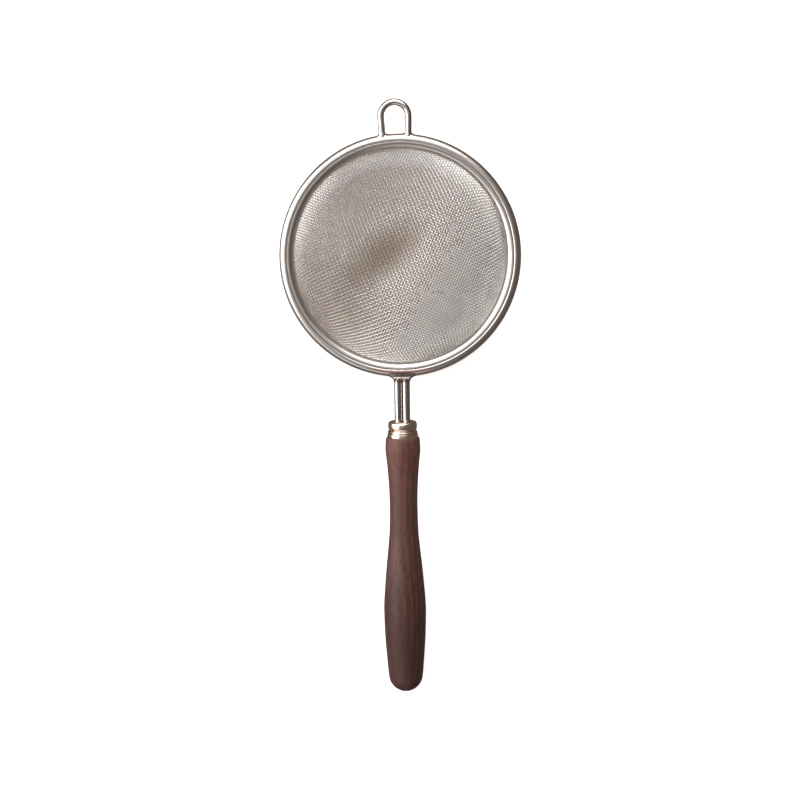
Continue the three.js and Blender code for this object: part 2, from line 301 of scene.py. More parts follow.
rim_roll = roll(RIM_ROLL, (-RIM_ROLL, RIM_TOP - RIM_ROLL), 1)
rim_under = rounded([rim_roll[-1], (0, RIM_UNDER), (-RIM_BACK, RIM_UNDER),
                     (-RIM_BACK, RIM_TOP - RIM_EASE)])[1:-1]
rim_ease = roll(RIM_EASE, (-RIM_ROLL, RIM_TOP - RIM_EASE), -1, steps=8)[:0:-1]
rim_section = np.concatenate((rim_roll, rim_under, rim_ease)) + (RIM_RADIUS, 0)
# The hoop carries a painted reflection at the neck, a pinkish-brown tint.
rim_wire = make_piece("rim_wire_hoop", skin(turned(rim_section, RIM_SIDES)),
                      polished_steel("Rim steel", roughness=0.32, painted_reflection_at=(0, -RIM_RADIUS, 0)))
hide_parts("rim_wire")
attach(rim_wire, "root")

# ---- Rim channel ----
# A strip of thin stainless sheet folded over the edge of the cloth. Its crown slopes down into the bowl,
# and the lower edges of its two legs are pinched on to the cloth.

CHANNEL_DROP = -own_places("rim_channel")[:, 2].min()
CHANNEL_SHEET = 0.4 * mm
CHANNEL_ROLL = 2.35 * mm           # radius of the crown, which rolls down into the bowl
CHANNEL_BACK = -3.02 * mm          # its outer leg, just inside the hoop
CHANNEL_TOP = 1.42 * mm
CHANNEL_EDGE = 0.1 * mm            # the flat between its outer leg and its crown
PINCH = 0.38 * mm                  # how far the lower edges are pressed in

crown = (CHANNEL_BACK - CHANNEL_EDGE, CHANNEL_TOP - CHANNEL_ROLL)
over = roll(CHANNEL_ROLL, crown, -1)
under = roll(CHANNEL_ROLL - CHANNEL_SHEET, crown, -1)[::-1]
inner_leg, outer_leg, bottom = over[-1][0], CHANNEL_BACK, -CHANNEL_DROP
inner_lip = rounded([over[-1], (inner_leg, bottom / 2), (inner_leg + PINCH, bottom),
                     (inner_leg + PINCH + CHANNEL_SHEET, bottom), (inner_leg + CHANNEL_SHEET, bottom / 2),
                     under[0]])[1:-1]
outer_lip = rounded([under[-1], (outer_leg - CHANNEL_SHEET, bottom / 2),
                     (outer_leg - PINCH - CHANNEL_SHEET, bottom), (outer_leg - PINCH, bottom),
                     (outer_leg, bottom / 2), (outer_leg, CHANNEL_TOP), over[0]])[1:-1]
channel_section = np.concatenate((over, inner_lip, under, outer_lip)) + (RIM_RADIUS, 0)
rim_channel = make_piece("rim_channel_fold", skin(turned(channel_section, RIM_SIDES)),
                         polished_steel("Channel steel", roughness=0.3))
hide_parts("rim_channel")
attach(rim_channel, "root")

# ---- Wire cloth ----
# Plain-woven stainless cloth, pressed into a bowl with a small flat foot. Every wire goes over one and
# under the next, and pressing shears the weave, so that it closes up on the bowl's diagonals.

CLOTH_WIRE = 0.37 * mm
CLOTH_PITCH = 1.02 * mm
CLOTH_TURN = math.radians(66)      # from across the tool to the warp
BOWL_SKIRT = 5 * mm
FOOT_RADIUS = 7 * mm
CLOTH_TONE = (0.99, 0.955, 0.925)
# painted shade: the tone the cloth is darkened to on one side of the bowl
CLOTH_PAINTED_SHADE_TONE = (0.42, 0.395, 0.37)
PAINTED_SHADE_WAY = (0.85, -0.53, 0)        # painted shade: the cloth is darkened and made a little rougher this way, between two places
PAINTED_SHADE_FROM = (6 * mm, 30 * mm)
# a tan tint laid over soft patches of the cloth
TAN_TINT_TONE = (0.55, 0.44, 0.335)
TAN_PATCHES = [                         # middle, half sizes, turn in degrees, strength
    ((-7.2, 0.2), (19, 8.5), 38, 1.0),
    ((-24, -20), (22, 15), -42, 0.5),
]
TAN_PATCH_EDGE = 1.2                   # where a tan patch ends, as a share of its half size
CLOTH_WEAR = 220.0                 # fineness
WIRE_GRAIN = 30000.0
WIRE_GRAIN_DEPTH = 0.001 * mm
WIRE_SIDES = 6
STEPS_PER_PITCH = 3
SHORTEST_WIRE = 4                  # steps
SIDE_STEPS = 400                   # along the bowl's side, to measure it
SKIRT_END = 1                      # metres up, far above the rim: the wires are cut at the skirt's top
NET_ROUNDS = 8                     # corrections that bring a crossing on to the bowl
LANE_GAP = 0.06                    # between the lanes of the bake map, as a share of a lane
CUT_ENDS = (0.25, 0.75)            # where a wire's two ends lie along their own lane
CUT_END_SPREAD = (0.2, 0.4)        # their half sizes there

cloth_places = own_places("mesh_bowl")
skirt_radius = cloth_places[:, 0].max() - CLOTH_WIRE
bowl_depth = -cloth_places[:, 2].min() - CLOTH_WIRE
skirt_top = cloth_places[:, 2].max()
wall_across = skirt_radius - FOOT_RADIUS
wall_down = bowl_depth - BOWL_SKIRT


def off_bowl(places):
    """How far places lie off the middle of the cloth, as a share of its curve, and the slope of that."""
    radius = np.maximum(np.hypot(places[..., 0], places[..., 1]), SAME_PLACE)
    across = np.maximum(radius - FOOT_RADIUS, 0) / wall_across
    down = np.minimum(places[..., 2] + BOWL_SKIRT, 0) / wall_down
    size = np.hypot(across, down)
    outward = across / size / wall_across / radius
    slope = np.stack((outward * places[..., 0], outward * places[..., 1], down / size / wall_down), -1)
    return size - 1, slope


def bowl_middle_line(count):
    """Places one pitch apart along the bowl, from its bottom straight up one side."""
    turn = np.linspace(0, math.pi / 2, SIDE_STEPS)
    radius = np.concatenate(([0], FOOT_RADIUS + wall_across * np.sin(turn), [skirt_radius]))
    height = np.concatenate(([-bowl_depth], -BOWL_SKIRT - wall_down * np.cos(turn), [SKIRT_END]))
    length = np.concatenate(([0], np.cumsum(np.hypot(np.diff(radius), np.diff(height)))))
    along = np.arange(count) * CLOTH_PITCH
    return np.stack((np.interp(along, length, radius), along * 0, np.interp(along, length, height)), -1)


def woven_net(reach):
    """Crossings of the cloth on the bowl, each one pitch from its neighbours along both of its wires."""
    quarter = np.zeros((reach + 1, reach + 1, 3))
    quarter[:, 0] = bowl_middle_line(reach + 1)
    quarter[0, :] = quarter[:, 0][:, (1, 0, 2)]
    for total in range(2, 2 * reach + 1):
        i = np.arange(max(1, total - reach), min(reach, total - 1) + 1)
        j = total - i
        below, beside = quarter[i, j - 1], quarter[i - 1, j]
        guess = below + beside - quarter[i - 1, j - 1]
        kept = np.maximum(below[:, 2], beside[:, 2]) < skirt_top + CLOTH_PITCH
        for _ in range(NET_ROUNDS):
            off, slope = off_bowl(guess[kept])
            from_below, from_beside = (guess - below)[kept], (guess - beside)[kept]
            error = np.stack(((from_below ** 2).sum(-1) - CLOTH_PITCH ** 2,
                              (from_beside ** 2).sum(-1) - CLOTH_PITCH ** 2, off), -1)
            change = np.stack((2 * from_below, 2 * from_beside, slope), -2)
            guess[kept] -= np.linalg.solve(change, error[..., None])[..., 0]
        quarter[i, j] = guess
    net = np.zeros((2 * reach + 1, 2 * reach + 1, 3))
    i, j = np.meshgrid(np.arange(reach + 1), np.arange(reach + 1), indexing="ij")
    rows, columns, places = i, j, quarter
    for _ in range(4):
        net[reach + rows, reach + columns] = places
        rows, columns = -columns, rows
        places = np.stack((-places[..., 1], places[..., 0], places[..., 2]), -1)
    return net


def between(before, start, end, after, t):
    """The place a share of the way from one point to the next, on a Catmull-Rom curve."""
    return 0.5 * (2 * start + (end - before) * t + (2 * before - 5 * start + 4 * end - after) * t ** 2
                  + (3 * start - before - 3 * end + after) * t ** 3)


def crimped(crossings, number, reach):
    """The middle line of one wire, which weaves over and under, with the way out of the cloth along it."""
    before, start, end, after = (crossings[k:len(crossings) - 3 + k] for k in range(4))
    lines, heights = [], []
    for step in range(STEPS_PER_PITCH):
        t = step / STEPS_PER_PITCH
        lines.append(between(before, start, end, after, t))
        heights.append(np.cos(math.pi * (np.arange(len(start)) + 1 - reach + t + number)))
    line = np.stack(lines, 1).reshape(-1, 3)
    height = np.stack(heights, 1).reshape(-1)
    slope = off_bowl(line)[1]
    out = slope / np.linalg.norm(slope, axis=-1, keepdims=True)
    return line, out, height


def wire_tube(line, out):
    """Rings of points round a wire's middle line."""
    along = np.gradient(line, axis=0)
    beside = np.cross(along, out)
    beside /= np.linalg.norm(beside, axis=-1, keepdims=True)
    upward = np.cross(beside, along)
    upward /= np.linalg.norm(upward, axis=-1, keepdims=True)
    angle = (np.arange(WIRE_SIDES) / WIRE_SIDES * 2 * math.pi)[:, None]
    round_wire = np.cos(angle) * upward[:, None] + np.sin(angle) * beside[:, None]
    return line[:, None] + CLOTH_WIRE / 2 * round_wire


def strip_map(mesh, tubes):
    """A bake map that lays each wire out straight, one row to a wire, one lane to a side."""
    longest = max(len(tube) for tube in tubes)
    lanes = WIRE_SIDES + 1
    corners = []
    for row, tube in enumerate(tubes):
        count = len(tube)
        i, lane = np.meshgrid(np.arange(count - 1), np.arange(WIRE_SIDES), indexing="ij")
        low, high = lane + LANE_GAP, lane + 1 - LANE_GAP
        left, right = (i + 0.5) / longest, (i + 1.5) / longest
        lay = np.stack((left, low, right, low, right, high, left, high), -1).reshape(-1, 2)
        turn = np.arange(WIRE_SIDES) / WIRE_SIDES * 2 * math.pi
        for end, spin in zip(CUT_ENDS, (turn, turn[::-1])):
            cap = np.stack((end + CUT_END_SPREAD[0] * np.cos(spin),
                            lanes - 0.5 + CUT_END_SPREAD[1] * np.sin(spin)), -1)
            lay = np.concatenate((lay, cap))
        lay[:, 1] = (lay[:, 1] + row * lanes) / (lanes * len(tubes))
        corners.append(lay)
    layer = mesh.uv_layers.new(name="OFBake")
    layer.data.foreach_set("uv", np.concatenate(corners).astype(np.float32).ravel())


def woven_cloth_finish():
    """Drawn stainless wire, with painted shade towards one side of the bowl and faint tan patches by its
    bottom.
    """
    finish = Finish("Wire cloth", Metallic=1.0)
    # A tan tint over soft patches of the cloth.
    tan_patch = 0.0
    for middle, size, turn, strength in TAN_PATCHES:
        near = finish.node("ShaderNodeMapping", {"vector_type": "TEXTURE"}, {
            "Vector": finish.place, "Location": (middle[0] * mm, middle[1] * mm, 0),
            "Rotation": (0, 0, math.radians(turn)), "Scale": (size[0] * mm, size[1] * mm, 1)})
        flat = finish.node("ShaderNodeVectorMath", {"operation": "MULTIPLY"}, {0: near, 1: (1, 1, 0)})
        away = finish.node("ShaderNodeVectorMath", {"operation": "LENGTH"}, {0: flat}, output="Value")
        tan_patch = tan_patch + (TAN_PATCH_EDGE - away).clamped() * strength
    # Painted shade: the cloth is darkened, patchily, and made rougher towards one side of the bowl.
    that_way = finish.node("ShaderNodeVectorMath", {"operation": "DOT_PRODUCT"},
                           {0: finish.place, 1: PAINTED_SHADE_WAY}, output="Value")
    painted_shade = ((that_way - PAINTED_SHADE_FROM[0]) / (PAINTED_SHADE_FROM[1] - PAINTED_SHADE_FROM[0])).clamped()
    wear = finish.noise(finish.place, CLOTH_WEAR)
    tone = finish.mix(wear, CLOTH_TONE, dimmed(CLOTH_TONE, 0.86))
    tone = finish.mix(painted_shade * (0.45 + 0.6 * wear), tone, CLOTH_PAINTED_SHADE_TONE)
    finish.set(
        Base_Color=finish.mix((tan_patch * (0.8 + 0.5 * wear)).clamped(), tone, TAN_TINT_TONE),
        Roughness=0.20 + 0.10 * wear + 0.06 * painted_shade,
        Normal=finish.bump(finish.noise(finish.place, WIRE_GRAIN, detail=2.0), WIRE_GRAIN_DEPTH),
    )
    return finish.material


reach = int((FOOT_RADIUS + math.pi / 4 * (wall_across + wall_down) + 2 * BOWL_SKIRT) / CLOTH_PITCH)
net = woven_net(reach)
turn = Matrix.Rotation(CLOTH_TURN, 3, "Z")
cloth_finish = woven_cloth_finish()
for family, crossings_of, lift in (("warp", net, 1), ("weft", net.transpose(1, 0, 2), -1)):
    for half, first in (("odd", 1), ("even", 0)):
        tubes = []
        for number in range(first, 2 * reach + 1, 2):
            line, out, height = crimped(crossings_of[number], number - reach, reach)
            inside = np.flatnonzero(line[:, 2] < skirt_top)
            if len(inside) < SHORTEST_WIRE:
                continue
            span = slice(inside[0], inside[-1] + 1)
            line = line + out * (lift * CLOTH_WIRE / 2 * height)[:, None]
            tubes.append(wire_tube(line[span], out[span]) @ np.array(turn).T)
        points, faces = joined([skin(tube, round_rings=False, cap=True) for tube in tubes])
        mesh = bpy.data.meshes.new(f"cloth_{family}_{half}")
        mesh.from_pydata(points.tolist(), [], faces)
        mesh.shade_smooth()
        strip_map(mesh, tubes)
        wires = place_mesh(mesh, cloth_finish)
        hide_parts("mesh_bowl")
        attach(wires, "root")

# ---- Rim welds ----
# Spots of weld in the groove under the rim, which hold the hoop to the channel. They are left as they
# cooled, round and a little lumpy.

WELD_TONE = (0.58, 0.545, 0.52)
WELD_HEAT_TONE = (0.50, 0.42, 0.36)
WELD_RIPPLES = 1400.0              # fineness
WELD_PATCHES = 320.0
RIPPLE_DEPTH = 0.03 * mm
POLE = 0.02                        # radians, to the flat ends of a rounded shape
SPOT_BLOBS = [(-0.55, 0.42), (0.0, 0.52), (0.6, 0.44)]     # mm along the rim, and their size
SPOT_OUT, SPOT_UP = 0.05 * mm, 0.12 * mm
SPOT_WOBBLE = 0.08 * mm


def ball(middle, sizes, rings=10, sides=14):
    """A rounded blob of metal."""
    turn = np.linspace(POLE, math.pi - POLE, rings)
    around = np.arange(sides) / sides * 2 * math.pi
    points = np.stack((np.outer(np.sin(turn), np.cos(around)), np.outer(np.sin(turn), np.sin(around)),
                       np.outer(np.cos(turn), np.ones(sides))), -1)
    return skin(points * sizes + middle, round_rings=False, cap=True)


def weld_metal(name, roughness, tone=WELD_TONE):
    """Weld metal, brushed over: rougher on its rippled crests and browned in patches by the welding."""
    finish = Finish(name, Metallic=1.0)
    ripples = finish.noise(finish.place, WELD_RIPPLES)
    patches = finish.noise(finish.place, WELD_PATCHES)
    finish.set(
        Base_Color=finish.mix((patches - 0.35) * 1.2, tone, WELD_HEAT_TONE),
        Roughness=roughness + 0.2 * (ripples - 0.5),
        Normal=finish.bump(ripples, RIPPLE_DEPTH),
    )
    return finish.material


spots = []
weld_nodes = sorted(node for node in frame["nodes"] if node.startswith("rim_weld_"))
for number, node in enumerate(weld_nodes):
    places = own_places(node)
    middle = places.mean(0)
    around = math.atan2(middle[1], middle[0])
    lean = np.array([[math.cos(around), -math.sin(around), 0], [math.sin(around), math.cos(around), 0],
                     [0, 0, 1]])
    for shift, size in SPOT_BLOBS:
        wobble = SPOT_WOBBLE * math.sin(7 * number + 5 * shift)
        spot, faces = ball((SPOT_OUT, shift * mm, SPOT_UP), size * mm + wobble)
        spots.append((spot @ lean.T + middle, faces))
rim_welds = make_piece("rim_weld_spots", joined(spots), weld_metal("Rim weld", roughness=0.3))
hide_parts(*weld_nodes)
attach(rim_welds, "root")

# ---- Hanging loop ----
# A bend of stainless wire whose legs close in a little towards the rim. It is welded to the hoop opposite
# the handle, and polished with it.

LOOP_WIRE = own_places("hanging_loop")[:, 2].max() * 2
LOOP_TURN = math.radians(1.6)      # round the rim from the tool's middle line to the loop
LOOP_LEAN = math.radians(2.5)
LOOP_STEPS = 72
to_loop = np.array(Matrix.Rotation(-LOOP_TURN, 3, "Z"))
loop_places = own_places("hanging_loop") @ to_loop.T
loop_bend = loop_places[:, 0].max() - LOOP_WIRE / 2
loop_middle = loop_places[:, 1].max() - LOOP_WIRE / 2 - loop_bend
leg_length = (loop_middle - RIM_RADIUS + RIM_ROLL / 2) / math.cos(LOOP_LEAN)


def bend_with_legs(steps):
    """The loop's middle line: up one leg, round the bend, and down the other."""
    bend_length = loop_bend * (math.pi + 2 * LOOP_LEAN)
    along = np.linspace(-leg_length, bend_length + leg_length, steps)
    in_bend = np.clip(along, 0, bend_length)
    angle = math.pi + LOOP_LEAN - in_bend / loop_bend
    straight = along - in_bend
    return np.stack((loop_bend * np.cos(angle) + straight * np.sin(angle),
                     loop_middle + loop_bend * np.sin(angle) - straight * np.cos(angle), 0 * along), -1)


def swept(line, radius, sides=16):
    """Rings of points round a line that lies flat in the plane of the rim."""
    along = np.gradient(line, axis=0)
    along /= np.linalg.norm(along, axis=-1, keepdims=True)
    beside = np.stack((along[:, 1], -along[:, 0], 0 * along[:, 0]), -1)
    angle = (np.arange(sides) / sides * 2 * math.pi)[:, None]
    return line[:, None] + radius * (np.cos(angle) * beside[:, None] + np.sin(angle) * np.array((0, 0, 1)))


loop_rings = swept(bend_with_legs(LOOP_STEPS), LOOP_WIRE / 2) @ to_loop
loop = make_piece("hanging_loop_bend", skin(loop_rings, round_rings=False, cap=True),
                  polished_steel("Loop steel", roughness=0.2))
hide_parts("hanging_loop")
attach(loop, "root")

# ---- Loop welds ----
# Weld run round each foot of the loop and dressed smooth, so that the leg flares out on to the hoop.

LOOP_BLEND = 1.3 * mm              # how far the weld spreads
LOOP_BLEND_REACH = 2.6 * mm
LOOP_WELD_BACK = 1.0 * mm          # from the leg's end to the middle of its weld
WELD_SINK = 0.015 * mm             # how far its thin edges lie inside what they join
WELD_HEART = (0.4 * mm, 0.2 * mm)  # from the wire's foot, along it and down, to the middle of the weld
WELD_STEPS = 100                   # tried outwards from there, to find its surface


def off_hoop(places):
    """How far places lie outside the hoop."""
    out, up = np.hypot(places[..., 0], places[..., 1]), places[..., 2]
    from_roll = np.hypot(np.maximum(out - RIM_RADIUS + RIM_ROLL, 0), np.maximum(up - RIM_TOP + RIM_ROLL, 0))
    return np.maximum(from_roll - RIM_ROLL, np.maximum(RIM_UNDER - up, RIM_RADIUS - RIM_BACK - out))


def off_wire(places, start, along, radius):
    """How far places lie outside a round wire that starts at one place and runs one way."""
    forward = (places - start) @ along
    beside = np.linalg.norm(places - start - forward[..., None] * along, axis=-1)
    return np.maximum(beside - radius, -forward)


def weld_blend(start, along, radius, size, reach, rings=48, sides=72):
    """Weld round the foot of a wire, with a surface that runs smoothly from the hoop's to the wire's."""
    start, along = np.append(start, 0), np.append(along, 0)
    turn = np.linspace(POLE, math.pi - POLE, rings)
    around = np.arange(sides) / sides * 2 * math.pi
    ways = np.stack((np.outer(np.sin(turn), np.cos(around)), np.outer(np.sin(turn), np.sin(around)),
                     np.outer(np.cos(turn), np.ones(sides))), -1)
    middle = start + along * WELD_HEART[0] - (0, 0, WELD_HEART[1])
    steps = np.linspace(0, reach, WELD_STEPS)
    places = middle + ways[:, :, None] * steps[:, None]
    hoop, wire = off_hoop(places), off_wire(places, start, along, radius)
    near = np.maximum(size - np.abs(hoop - wire), 0) / size
    depth = np.minimum(hoop, wire) - near ** 2 * size / 4 + WELD_SINK
    first = np.where((depth > 0).any(-1), (depth > 0).argmax(-1), len(steps) - 1)[..., None]
    after = np.maximum(np.take_along_axis(depth, first, -1), 0)
    before = np.take_along_axis(depth, first - 1, -1)
    far = steps[first] - (steps[1] - steps[0]) * after / (after - before)
    return skin(middle + ways * far, round_rings=False, cap=True)


for name, sign in (("left", -1), ("right", 1)):
    lean = -sign * LOOP_LEAN
    leg_way = np.array((-math.sin(lean), math.cos(lean)))
    top = np.array((sign * loop_bend * math.cos(LOOP_LEAN), loop_middle - loop_bend * math.sin(LOOP_LEAN)))
    foot_place = top - leg_way * (leg_length - LOOP_WELD_BACK)
    points, faces = weld_blend(foot_place, leg_way, LOOP_WIRE / 2, LOOP_BLEND, LOOP_BLEND_REACH)
    weld = make_piece(f"loop_weld_web_{name}", (points @ to_loop, faces),
                      weld_metal(f"Loop weld {name}", roughness=0.2))
    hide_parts(f"loop_weld_{name}")
    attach(weld, "root")

# ---- Neck rods ----
# Two straight stainless rods side by side. They are welded to the hoop at one end, and at the other they
# go through the ferrule and are bedded in the handle.

rods_half = own_places("neck_rod_right")[:, 0].max()
rod_end = own_places("neck_rod_right")[:, 1].min()
ROD_RADIUS = rods_half / 2
ROD_GAP = 0.5 * mm                 # to the hoop
ROD_TOP = -(RIM_RADIUS + ROD_GAP)
ROD_CHAMFER = 0.35 * mm
ROD_SIDES = 32
ROD_CREASE = math.radians(35)      # edges sharper than this stay sharp

for name, sign in (("left", -1), ("right", 1)):
    profile = [(0, ROD_TOP), (ROD_RADIUS - ROD_CHAMFER, ROD_TOP), (ROD_RADIUS, ROD_TOP - ROD_CHAMFER),
               (ROD_RADIUS, (ROD_TOP + rod_end) / 2), (ROD_RADIUS, rod_end + ROD_CHAMFER),
               (ROD_RADIUS - ROD_CHAMFER, rod_end), (0, rod_end)]
    rings = turned(profile, ROD_SIDES, axis="Y") + (sign * ROD_RADIUS, 0, 0)
    rod = make_piece(f"neck_rod_bar_{name}", skin(rings, round_sides=False),
                     polished_steel(f"Rod steel {name}", roughness=0.17), sharp=ROD_CREASE)
    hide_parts(f"neck_rod_{name}")
    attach(rod, "root")

# ---- Neck welds ----
# Weld run into the corners between the hoop and the rods and ground to a smooth flare. A row of small
# beads is left between the rods' ends and the hoop.

NECK_BLEND = 2.9 * mm
NECK_BLEND_REACH = 6 * mm
BEADS = 3                          # on each rod's end, above and below
BEAD_SIZE = (0.40 * mm, 0.60 * mm, 0.45 * mm)
BEAD_RISE = 0.25 * mm
BEAD_NUDGE = 0.12 * mm
NECK_WELD_BACK = 0.2 * mm          # from the rods' ends to the middle of the weld
NECK_WELD_TONE = (0.36, 0.315, 0.30)

for name, sign in (("left", -1), ("right", 1)):
    foot_place = (sign * ROD_RADIUS, ROD_TOP - NECK_WELD_BACK)
    parts = [weld_blend(foot_place, (0, -1), ROD_RADIUS, NECK_BLEND, NECK_BLEND_REACH)]
    for number in range(BEADS):
        across = sign * rods_half * (number + 0.5) / BEADS
        height = math.sqrt(max(ROD_RADIUS ** 2 - (abs(across) - ROD_RADIUS) ** 2, 0)) + BEAD_RISE
        for level in (height, -height):
            nudge = BEAD_NUDGE * math.sin(9 * number + 4 * sign)
            parts.append(ball((across, ROD_TOP + nudge, level), BEAD_SIZE))
    weld = make_piece(f"neck_weld_web_{name}", joined(parts),
                      weld_metal(f"Neck weld {name}", roughness=0.26, tone=NECK_WELD_TONE))
    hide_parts(f"neck_weld_{name}")
    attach(weld, "root")

# ---- Ferrule ----
# A turned brass collar, plated and polished: a round bead towards the neck, a thin ring, and a plain band
# over the handle's tenon. A slot through its face takes the rods.

ferrule_places = own_places("ferrule")
ferrule_start = ferrule_places[:, 1].max()
ferrule_end = ferrule_places[:, 1].min()
BAND_RADIUS = np.abs(ferrule_places[:, 0]).max()
BAND_WALL = 0.8 * mm
SOCKET_DEPTH = 2.25 * mm
SLOT_GAP = 0.12 * mm
SLOT_OVERRUN = 2 * mm              # how far the slot's cutter stands out of the face
SLOT_STEPS = 13                    # round each end of the slot
FERRULE_SIDES = 96
FERRULE_CREASE = math.radians(40)
FERRULE_TONE = (0.80, 0.69, 0.59)
PLATING_WEAR = 500.0               # fineness
TURNING_LINES = 16000.0
TURNING_DEPTH = 0.002 * mm
MOULDINGS = [                      # mm out, and back from the face
    (0, 0.25), (3.6, 0.2), (4.5, 0.0), (5.42, 0.5), (5.5, 1.85), (5.38, 3.1),
    (4.7, 3.5), (4.6, 3.75), (5.4, 3.75), (5.66, 3.9), (5.66, 4.3), (5.4, 4.45),
    (4.95, 4.45), (4.95, 4.75), (5.72, 4.75), (5.8, 4.9), (5.8, 5.6), (5.8, 6.3),
]


def plated_brass():
    """Plating over turned brass, with the lathe's fine lines round it and patches rubbed dull."""
    finish = Finish("Plated brass", Metallic=1.0)
    wear = finish.noise(finish.place, PLATING_WEAR)
    lines = finish.noise(finish.stretched((0.02, 1, 0.02)), TURNING_LINES, detail=2.0)
    finish.set(
        Base_Color=finish.mix(wear, FERRULE_TONE, dimmed(FERRULE_TONE, 0.85)),
        Roughness=0.18 + 0.16 * wear,
        Normal=finish.bump(lines, TURNING_DEPTH),
    )
    return finish.material


def cut_out(piece, shape):
    """Cuts a closed shape out of a piece."""
    cutter = make_piece("cutter", shape, piece.data.materials[0])
    cut = piece.modifiers.new("cut", "BOOLEAN")
    cut.operation = "DIFFERENCE"
    cut.object = cutter
    cut.solver = "EXACT"
    bpy.context.view_layer.update()
    result = bpy.data.meshes.new_from_object(piece.evaluated_get(bpy.context.evaluated_depsgraph_get()))
    piece.modifiers.clear()
    piece.data = result
    bpy.data.objects.remove(cutter)


moulded = rounded(MOULDINGS) * mm * (1, -1) + (0, ferrule_start)
socket_radius = BAND_RADIUS - BAND_WALL
socket_floor = ferrule_end + SOCKET_DEPTH
profile = [*moulded, (BAND_RADIUS, ferrule_end), (socket_radius, ferrule_end), (socket_radius, socket_floor),
           (0, socket_floor)]
ferrule = make_piece("ferrule_collar", skin(turned(profile, FERRULE_SIDES, axis="Y"), round_sides=False),
                     plated_brass())
slot_half = ROD_RADIUS + SLOT_GAP
turns = np.linspace(-math.pi / 2, math.pi / 2, SLOT_STEPS)
right_end = np.stack((ROD_RADIUS + slot_half * np.cos(turns), slot_half * np.sin(turns)), -1)
slot_outline = np.concatenate((right_end, -right_end))
slot_ends = (ferrule_start + SLOT_OVERRUN, ferrule_end)
slot_rings = np.array([np.insert(slot_outline, 1, end, axis=1) for end in slot_ends])
cut_out(ferrule, skin(slot_rings, round_rings=False, cap=True))
ferrule.data.shade_smooth()
ferrule.data.set_sharp_from_angle(angle=FERRULE_CREASE)
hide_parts("ferrule")
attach(ferrule, "root")

# ---- Handle ----
# Turned from one piece of dark walnut, bored for the rods, with a tenon inside the ferrule. It is sanded
# fine and oiled, which leaves a low sheen and lets the open pores show.

HANDLE_SIDES = 96
HANDLE_STEPS = 110
HANDLE_CREASE = math.radians(50)
CURVE_STEPS = 8                    # between two points of the turned outline
BORE_SLACK = 0.3 * mm              # round the resin, and at its end
TENON_SLACK = 0.05 * mm
SHOULDER_RISE = 0.02 * mm          # of the wood over the band
FRONT_LAP = 0.7 * mm               # how far the wood laps over the band, eased over its front
FRONT_RUN = 6 * mm
WOOD_DARK = (0.048, 0.020, 0.016)
WOOD_MIDDLE = (0.096, 0.040, 0.031)
WOOD_LIGHT = (0.150, 0.066, 0.050)
GRAIN_WARP = 90.0                  # fineness
GRAIN_CLOUDS = 80.0
GRAIN_STREAKS = 1300.0
PORES = 3200.0
PORE_TONE = (0.028, 0.013, 0.011)
PORE_SHARE = 0.57                  # pores show where their pattern is over this
PORE_EDGE = 9.0
PORE_DEPTH = 0.03 * mm
GROWTH_RING = 2.3 * mm
BUTT_SHADE_RUN = 75 * mm            # painted shade: the wood is darkened over this length behind the ferrule
PITH = (31 * mm, 0, -44 * mm)      # the tree's middle, off to one side of the handle


def outline_of_handle():
    """The turned outline of the CAD handle, as its radius and place along the tool, from tenon to butt."""
    places = own_places("handle")
    radius = np.hypot(places[:, 0], places[:, 2])
    rings = {}
    for out, along in zip(radius, places[:, 1]):
        level = round(along / mm, 2)
        rings[level] = max(rings.get(level, 0), out)
    bore = own_places("tang_resin")
    near_end = 1 * mm
    bore_end = bore[:, 1].min() - near_end
    bore_radius = bore[:, 0].max() + near_end / 2
    outside = [(out, level * mm) for level, out in rings.items() if level * mm < ferrule_end
               and not (abs(level * mm - bore_end) < near_end and out < bore_radius)]
    return np.array(sorted(outside, key=lambda ring: -ring[1]))


def smoothed(line, steps):
    """A Catmull-Rom curve through a line's points, evenly spaced along it."""
    points = np.concatenate(([2 * line[0] - line[1]], line, [2 * line[-1] - line[-2]]))
    fine = []
    for before, start, end, after in zip(points, points[1:], points[2:], points[3:]):
        for t in np.linspace(0, 1, CURVE_STEPS, endpoint=False):
            fine.append(between(before, start, end, after, t))
    fine.append(line[-1])
    fine = np.array(fine)
    length = np.concatenate(([0], np.cumsum(np.hypot(*np.diff(fine, axis=0).T))))
    even = np.linspace(0, length[-1], steps)
    return np.stack([np.interp(even, length, column) for column in fine.T], -1)


